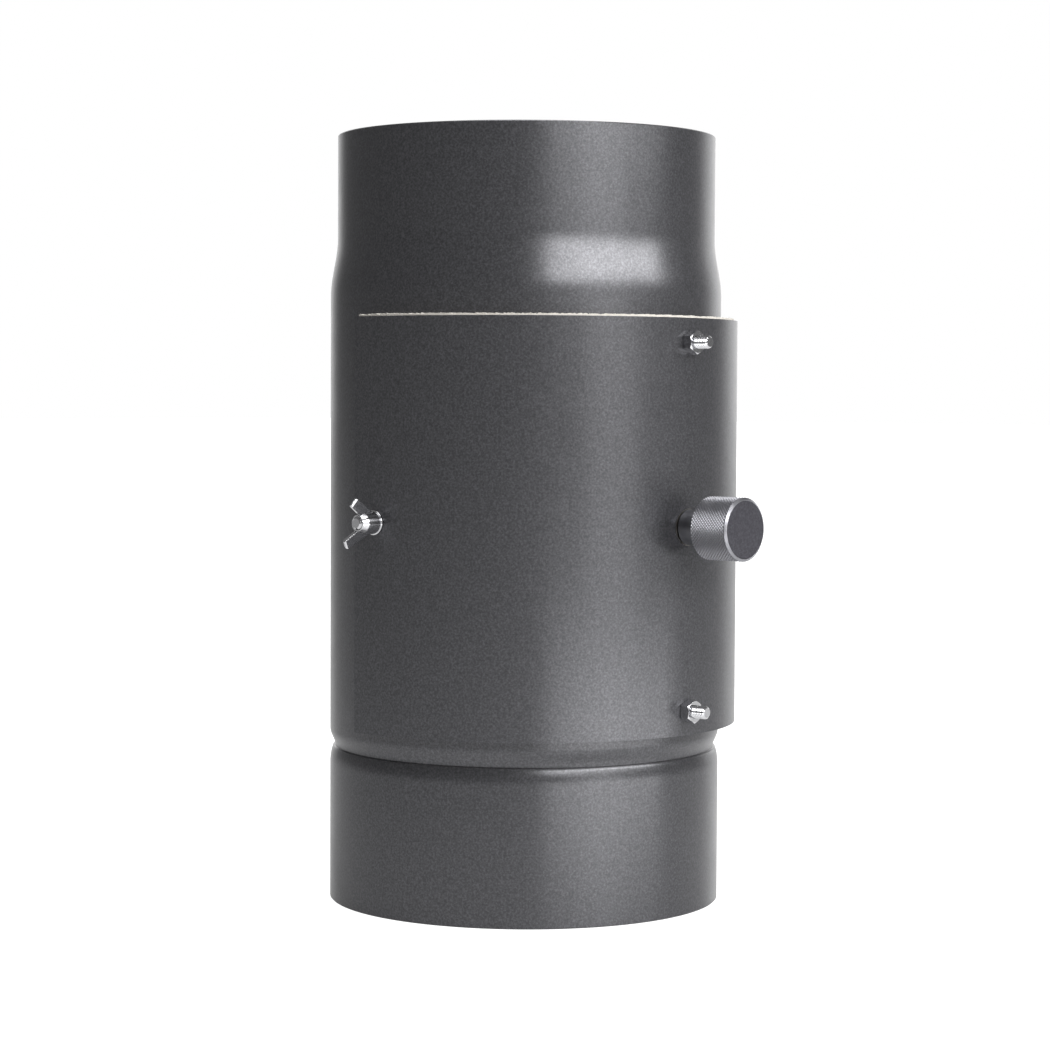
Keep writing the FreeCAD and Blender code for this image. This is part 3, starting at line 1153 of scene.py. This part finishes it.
    def build(self, zinc: bpy.types.Material) -> None:
        """Model and place every fastener.

        Args:
            zinc: the plating that they all have.
        """
        stud = self.stud()
        studs = []
        for side, height in self.sites:
            twin = copy_of(stud, "stud")
            outward(twin, side, height)
            studs.append(twin)
        bpy.data.objects.remove(stud, do_unlink=True)
        self.finish(join("weld_studs", studs), zinc, "body", "studs")
        nut = self.hex_nut("hexagon_nut")
        nuts = [nut, copy_of(nut, "hexagon_nut_lower")]
        for piece, site in zip(nuts, self.sites):
            outward(piece, *site)
        self.finish(join("hexagon_nuts", nuts), zinc, "body", "hex_nuts")
        turns = {"left": self.left_turn, "right": self.right_turn}
        for (name, turn), site in zip(turns.items(), self.sites[2:]):
            washer = self.washer("washer_" + name)
            outward(washer, *site)
            self.finish(washer, zinc, name + "_washer", "wing_washer_" + name)
            nut = self.wing_nut("winged_nut_" + name)
            choose(nut)
            nut.rotation_euler = (0, 0, math.radians(turn))
            bpy.ops.object.transform_apply(rotation=True)
            outward(nut, *site)
            self.finish(nut, zinc, name + "_nut", "wing_nut_" + name)

    def finish(self, piece: bpy.types.Object, zinc: bpy.types.Material, body: str, node: str) -> None:
        """Plate a fastener and seat it in place of its CAD node.

        Args:
            piece: the fastener.
            zinc: its plating.
            body: the body that it rides on.
            node: the CAD node that it stands for.
        """
        piece.data.materials.clear()
        piece.data.materials.append(zinc)
        seat(piece, body, "zinc", node)


@dataclass
class Knob:
    """The turned knob with its knurled grip and dark face disc."""

    start: float = field(default_factory=lambda: -high("knob").y)
    face: float = field(default_factory=lambda: -low("knob").y)
    axis_height: float = field(default_factory=lambda: (low("knob").z + high("knob").z) / 2)
    radius: float = field(default_factory=lambda: high("knob").x)
    neck_radius: float = 6.8 * MM
    neck_length: float = 10.2 * MM
    foot_chamfer: float = 0.3 * MM
    # (outwards, back) from the neck's end.
    neck_fillet: Outline = ((0.0, 0.8 * MM), (0.3 * MM, 0.25 * MM), (0.9 * MM, 0.0))
    chamfer: float = 0.7 * MM
    grip_round: float = 0.1 * MM
    # (outwards, back) from the cap's edge in the knob's face.
    rim_form: Outline = ((0.35 * MM, 0.12 * MM), (0.2 * MM, 0.0), (0.02 * MM, 0.05 * MM))
    cap_radius: float = 10.85 * MM
    cap_thickness: float = 1.0 * MM
    cap_clear: float = 0.05 * MM
    cap_round: float = 0.12 * MM
    cap_sunk: float = 0.02 * MM
    bore: float = 4.0 * MM
    plain_band: float = 0.35 * MM
    knurl_depth: float = 0.42 * MM
    knurls_round: int = 58
    knurls_along: int = 12
    grip_inside: float = 11.5 * MM

    def grip_rows(self) -> list[float]:
        """Say how far out each row of the knurl's grid lies.

        Returns:
            The rows' distances from the pipe's axis, at half the diamonds' spacing.
        """
        first = self.start + self.neck_length + self.plain_band
        last = self.face - self.chamfer - self.plain_band
        rows = 2 * self.knurls_along
        return [first + (last - first) / rows * k for k in range(rows + 1)]

    def outline(self) -> list[Point]:
        """Draw the knob's section: neck, grip, rim, recess and bore.

        Returns:
            The (radius, distance from the pipe's axis) points of the closed section.
        """
        neck_end, recess = self.start + self.neck_length, self.face - self.cap_thickness
        outline = [(self.bore, self.start), (self.neck_radius - self.foot_chamfer, self.start)]
        outline.append((self.neck_radius, self.start + self.foot_chamfer))
        outline += [(self.neck_radius + out, neck_end - back) for out, back in self.neck_fillet]
        outline.append((self.radius - self.knurl_depth, neck_end))
        outline += [(self.radius, row) for row in self.grip_rows()]
        outline.append((self.radius - self.grip_round, self.face - self.chamfer))
        outline += [(self.cap_radius + out, self.face - back) for out, back in self.rim_form]
        return outline + [(self.cap_radius, recess), (self.bore, recess)]

    def knurl(self, knob: bpy.types.Object) -> None:
        """Press every second point of the grip's grid in, so that diamonds stand between them.

        Args:
            knob: the turned knob, along +Z.
        """
        rows = self.grip_rows()
        first, last, step = rows[0], rows[-1], rows[1] - rows[0]

        def valley(point: Vector) -> bool:
            """Say whether a point of the knob is pressed in.

            Args:
                point: the point's place.

            Returns:
                True at every second point of the grip's grid.
            """
            on_grip = math.hypot(point.x, point.y) > self.radius - 0.05 * MM
            if not on_grip or not first - step / 2 < point.z < last + step / 2:
                return False
            row = round((point.z - first) / step)
            column = round(math.atan2(point.y, point.x) * self.knurls_round / math.pi)
            return (row + column) % 2 == 1

        def beside_grip(point: Vector) -> bool:
            """True on the grip and the rings next to it."""
            return first - step < point.z < last + step and math.hypot(point.x, point.y) > self.grip_inside

        select_points(knob, valley)
        shrink = (self.radius - self.knurl_depth) / self.radius
        with editing(knob):
            bpy.ops.transform.resize(value=(shrink, shrink, 1), center_override=ORIGIN)
        select_points(knob, beside_grip)
        with editing(knob):
            bpy.ops.mesh.quads_convert_to_tris(quad_method="SHORTEST_DIAGONAL")

    def build(self, steel: bpy.types.Material, dark: bpy.types.Material) -> None:
        """Model the knob and its cap.

        Args:
            steel: the knob's knurled steel.
            dark: the cap's lacquer.
        """
        knob = turned("knob_body", self.outline(), 2 * self.knurls_round, ring=True)
        self.knurl(knob)
        smooth(knob, 12.0)
        outward(knob, Side.FRONT.value, self.axis_height)
        knob.data.materials.append(steel)
        seat(knob, "filter", "knob_steel", "knob")
        wall = self.cap_radius - self.cap_clear
        cap = turned("knob_face_disc", [
            (wall, self.face - self.cap_thickness), (wall, self.face - self.cap_round),
            (self.cap_radius - self.cap_round, self.face - self.cap_sunk),
        ], 96)
        smooth(cap)
        outward(cap, Side.FRONT.value, self.axis_height)
        cap.data.materials.append(dark)
        seat(cap, "filter", "knob_face", "knob_cap")


@dataclass
class FilterInsert:
    """The hoop and the porous ceramic that the knob turns."""

    radius: float = field(default_factory=lambda: high("hoop").x)
    bottom: float = field(default_factory=lambda: low("hoop").z)
    top: float = field(default_factory=lambda: high("hoop").z)
    wall: float = 1.2 * MM
    lip: float = 4.0 * MM
    edge_chamfer: float = 0.5 * MM
    spindle_radius: float = 4.0 * MM
    drill_reach: float = 100.0 * MM
    rolled: tuple[str, ...] = (
        "grille_upper", "grille_lower", "spindle", "stop_collar", "collar_pin",
        "cover_bush", "rear_bearing", "friction_washer",
    )

    def build(self, steel: bpy.types.Material, ceramic: bpy.types.Material) -> None:
        """Model the hoop, and give the CAD pieces inside it their finishes.

        Args:
            steel: the stainless steel of the hoop, the grilles and the spindle's parts.
            ceramic: the filter medium.
        """
        inner, lip, soft = self.radius - self.wall, self.radius - self.lip, self.edge_chamfer
        low_z, high_z = self.bottom, self.top
        hoop = turned("filter_hoop", [
            (self.radius - soft, low_z), (self.radius, low_z + soft), (self.radius, high_z - soft),
            (self.radius - soft, high_z), (lip, high_z), (lip, high_z - self.wall),
            (inner, high_z - self.wall), (inner, low_z + self.wall), (lip, low_z + self.wall), (lip, low_z),
        ], 192, ring=True)
        ends = (-self.drill_reach, self.drill_reach)
        drill = turned("drill", [(self.spindle_radius, end) for end in ends], 32)
        outward(drill, Side.FRONT.value, (low_z + high_z) / 2)
        carve(hoop, drill)
        smooth(hoop)
        hoop.data.materials.append(steel)
        seat(hoop, "filter", "stainless", "hoop")
        for node in self.rolled:
            dress(node, steel)
        dress("filter_medium", ceramic)


@dataclass(frozen=True)
class Lamp:
    """One soft rectangular lamp: where it stands, its size in metres and its power in watts."""

    name: str
    side_deg: float
    up_deg: float
    distance: float
    size: Point
    power: float


@dataclass
class Studio:
    """Plain pale floor, soft lamps and the camera of the photograph.

    Every side angle of a lamp or the room is counted from the camera's own side.
    """

    camera_side_deg: float = -47.5
    distance: float = 1.1127
    camera_height: float = 0.1995
    pitch_deg: float = 2.695
    roll_deg: float = 0.27
    focal_px: float = 2806.0
    image_px: float = 1050.0
    sensor: float = 36.0
    aim_height: float = 0.15
    lamps: tuple[Lamp, ...] = (
        # High and wide, to the right: the main light, on the side with the knob.
        Lamp("key", 49.0, 26.0, 1.2, (1.6, 0.36), 15.5),
        # Level with the pipe, on the same side: a weak fill for the cover and the socket.
        Lamp("strip", 46.0, 6.0, 1.6, (0.8, 1.0), 3.2),
        # Nearly overhead: the taper, the rims and the tops of the fasteners.
        Lamp("overhead", 15.0, 76.0, 1.2, (0.9, 0.9), 12.0),
        # Low, close and thin: a faint light on the socket and up under the bead.
        Lamp("card", 46.0, -14.5, 0.5, (0.66, 0.045), 0.4),
    )
    room_turn_deg: float = 171.0
    room_edge: Point = (0.74, 0.90)
    room_light: Point = (0.2, 1.6)
    ambient: float = 0.30
    floor_size: float = 30.0
    floor_colour: str = "#e6e6e6"
    floor_roughness: float = 0.2
    floor_glow: float = 1.65
    glow_seen: float = 0.6
    glow_mirrored: float = 0.12

    def direction(self, side_deg: float, up_deg: float = 0.0) -> Vector:
        """Unit vector at a side angle from the cover's middle and an angle above the horizon."""
        side, up = math.radians(side_deg), math.radians(up_deg)
        return Vector((math.sin(side) * math.cos(up), -math.cos(side) * math.cos(up), math.sin(up)))

    def build_camera(self) -> None:
        """Place the camera where the photograph was taken from."""
        data = bpy.data.cameras.new("camera")
        data.sensor_width = self.sensor
        data.lens = self.focal_px / self.image_px * self.sensor
        data.clip_start = 0.01
        camera = bpy.data.objects.new("camera", data)
        bpy.context.scene.collection.objects.link(camera)
        stand = self.direction(self.camera_side_deg) * self.distance
        camera.location = stand + Vector((0, 0, self.camera_height))
        look = self.direction(self.camera_side_deg + 180.0, -self.pitch_deg)
        aim = look.to_track_quat("-Z", "Y").to_matrix().to_4x4()
        camera.matrix_world = (
            Matrix.Translation(camera.location) @ aim @ Matrix.Rotation(math.radians(self.roll_deg), 4, "Z")
        )
        bpy.context.scene.camera = camera

    def build_lamp(self, lamp: Lamp) -> None:
        """Add one soft rectangular lamp aimed at the pipe's middle.

        Args:
            lamp: the lamp.
        """
        data = bpy.data.lights.new(lamp.name, "AREA")
        data.shape = "RECTANGLE"
        data.size, data.size_y = lamp.size
        data.energy = lamp.power
        stand = bpy.data.objects.new(lamp.name, data)
        bpy.context.scene.collection.objects.link(stand)
        towards = self.direction(self.camera_side_deg + lamp.side_deg, lamp.up_deg)
        stand.location = towards * lamp.distance + Vector((0, 0, self.aim_height))
        stand.rotation_mode = "QUATERNION"
        stand.rotation_quaternion = (-towards).to_track_quat("-Z", "Y")

    def build_world(self) -> None:
        """White to the camera, and a white room behind the pipe for reflections."""
        world = bpy.data.worlds.new("studio")
        bpy.context.scene.world = world
        world.use_nodes = True
        tree = world.node_tree
        tree.nodes.clear()
        path = add_node(tree, "ShaderNodeLightPath")
        ray = add_node(tree, "ShaderNodeTexCoord").outputs["Generated"]
        back = self.direction(self.camera_side_deg + self.room_turn_deg)
        facing = add_node(tree, "ShaderNodeVectorMath", {1: back}, {0: ray}, operation="DOT_PRODUCT")
        room = add_node(
            tree, "ShaderNodeMapRange",
            {"From Min": self.room_edge[0], "From Max": self.room_edge[1],
             "To Min": self.room_light[0], "To Max": self.room_light[1]},
            {"Value": facing.outputs["Value"]},
        )
        glossy = add_node(
            tree, "ShaderNodeMix", {2: self.ambient},
            {0: path.outputs["Is Glossy Ray"], 3: room.outputs["Result"]}, data_type="FLOAT",
        )
        seen = add_node(
            tree, "ShaderNodeMix", {3: 1.0}, {0: path.outputs["Is Camera Ray"], 2: glossy.outputs[0]},
            data_type="FLOAT",
        )
        light = add_node(
            tree, "ShaderNodeBackground", {"Color": linear("#ffffff")}, {"Strength": seen.outputs[0]}
        )
        add_node(tree, "ShaderNodeOutputWorld", links={"Surface": light.outputs[0]})

    def build_floor(self) -> None:
        """Lay a plain pale floor that keeps a faint shadow."""
        deselect_all()
        bpy.ops.mesh.primitive_plane_add(size=self.floor_size, location=ORIGIN)
        floor = settle("floor")
        material, tree, _ = new_material("floor_pale")
        path = add_node(tree, "ShaderNodeLightPath")
        plain = add_node(
            tree, "ShaderNodeBsdfPrincipled",
            {"Roughness": self.floor_roughness, "Base Color": linear(self.floor_colour)},
        )
        glow = add_node(tree, "ShaderNodeEmission", {"Strength": self.floor_glow})
        seen = add_node(
            tree, "ShaderNodeMath", {1: self.glow_seen}, {0: path.outputs["Is Camera Ray"]},
            operation="MULTIPLY",
        )
        share = add_node(
            tree, "ShaderNodeMath", {1: self.glow_mirrored},
            {0: path.outputs["Is Glossy Ray"], 2: seen.outputs[0]}, operation="MULTIPLY_ADD",
        )
        mix = add_node(
            tree, "ShaderNodeMixShader",
            links={0: share.outputs[0], 1: plain.outputs[0], 2: glow.outputs[0]},
        )
        add_node(tree, "ShaderNodeOutputMaterial", links={"Surface": mix.outputs[0]})
        floor.data.materials.append(material)

    def build(self) -> None:
        """Set up the floor, the world, the lamps and the camera."""
        bpy.context.scene.view_settings.view_transform = "Standard"
        self.build_floor()
        self.build_world()
        for lamp in self.lamps:
            self.build_lamp(lamp)
        self.build_camera()


def main() -> None:
    """Build every sub-assembly and report it."""
    logging.basicConfig(level=logging.INFO, format="%(name)s: %(message)s")
    paint = StovePaint().build()
    zinc = ZINC.build()
    stainless = STAINLESS.build()
    PipeBody().build(paint)
    InspectionCover().build(paint, CeramicFibre().build())
    Fasteners().build(zinc)
    Knob().build(KNURLED.build(), KNOB_LACQUER.build())
    FilterInsert().build(stainless, PorousCeramic().build())
    dress("knob_screw", zinc)
    Studio().build()


if __name__ == "__main__":
    main()
